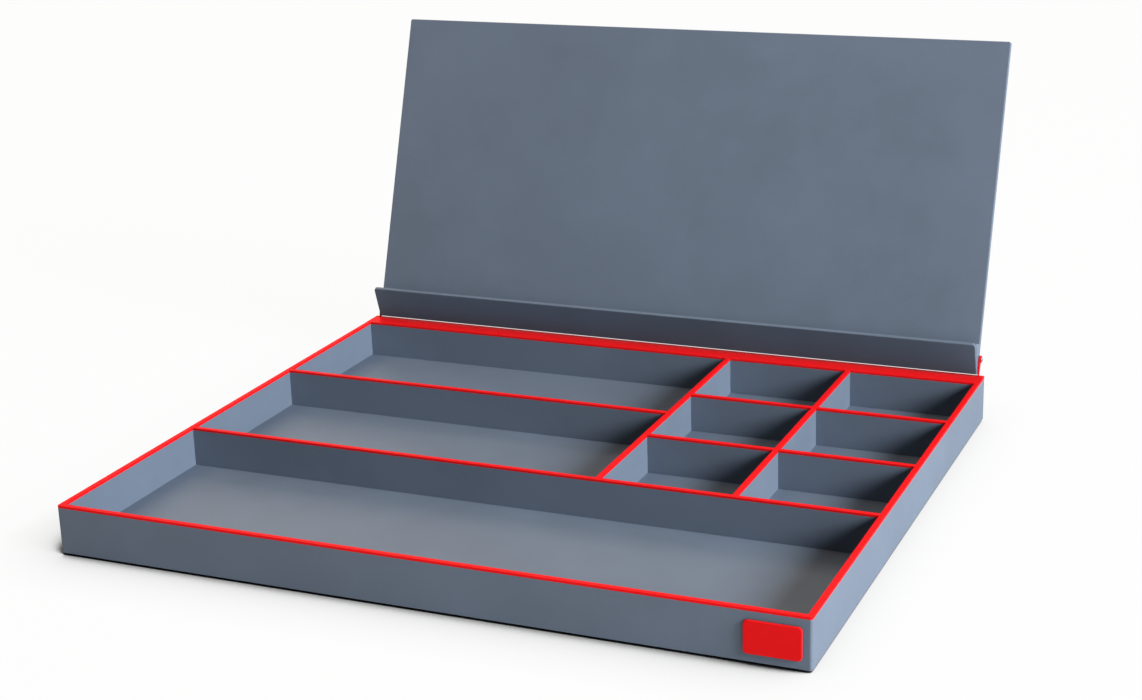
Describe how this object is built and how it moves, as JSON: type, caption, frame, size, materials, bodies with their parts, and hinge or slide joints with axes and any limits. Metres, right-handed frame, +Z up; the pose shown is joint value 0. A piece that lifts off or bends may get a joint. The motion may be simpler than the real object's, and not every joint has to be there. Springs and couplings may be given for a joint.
{
  "type": "parts sorting tray with booklet stand",
  "caption": "Shallow grey sorting tray with red-edged bays and cells, and a tilting booklet stand with a lip hinged along its rear rail.",
  "frame": {"origin": "on the surface that the feet stand on, below the middle of the part's box at rest", "axes": "+X to the right seen from the front, +Y to the back where the stand is, +Z up"},
  "size_m": [0.6, 0.6194, 0.318],
  "materials": {
    "board_grey": "satin slate grey, faintly mottled",
    "strip_red": "satin red edging",
    "ear_red": "satin red paint",
    "badge_red": "smooth red",
    "pin_steel": "turned steel",
    "foot_rubber": "matt black"
  },
  "bodies": {
    "tray": {"badge_plate": "badge_red", "base_panel": "board_grey", "cell_middle_divider": "board_grey", "cell_middle_strip": "strip_red", "cell_side_divider": "board_grey", "cell_side_strip": "strip_red", "front_bay_divider": "board_grey", "front_bay_strip": "strip_red", "front_edge_strip": "strip_red", "front_left_foot": "foot_rubber", "front_right_foot": "foot_rubber", "front_row_divider": "board_grey", "front_row_left_strip": "strip_red", "front_row_right_strip": "strip_red", "front_wall": "board_grey", "hinge_beam": "board_grey", "hinge_rail": "strip_red", "left_ear": "ear_red", "left_edge_strip": "strip_red", "left_wall": "board_grey", "long_bay_divider": "board_grey", "long_bay_strip": "strip_red", "rear_left_foot": "foot_rubber", "rear_right_foot": "foot_rubber", "rear_row_divider": "board_grey", "rear_row_left_strip": "strip_red", "rear_row_right_strip": "strip_red", "right_ear": "ear_red", "right_edge_strip": "strip_red", "right_wall": "board_grey"},
    "stand": {"left_gusset": "board_grey", "left_pivot_pin": "pin_steel", "right_gusset": "board_grey", "right_pivot_pin": "pin_steel", "stand_lip": "board_grey", "stand_panel": "board_grey"}
  },
  "joints": [
    {"name": "stand_tilt", "type": "hinge", "parent": "tray", "child": "stand", "pos_m": [0, 0.21433, 0.05506], "axis": [1, 0, 0], "range_deg": [-70, 80]}
  ]
}
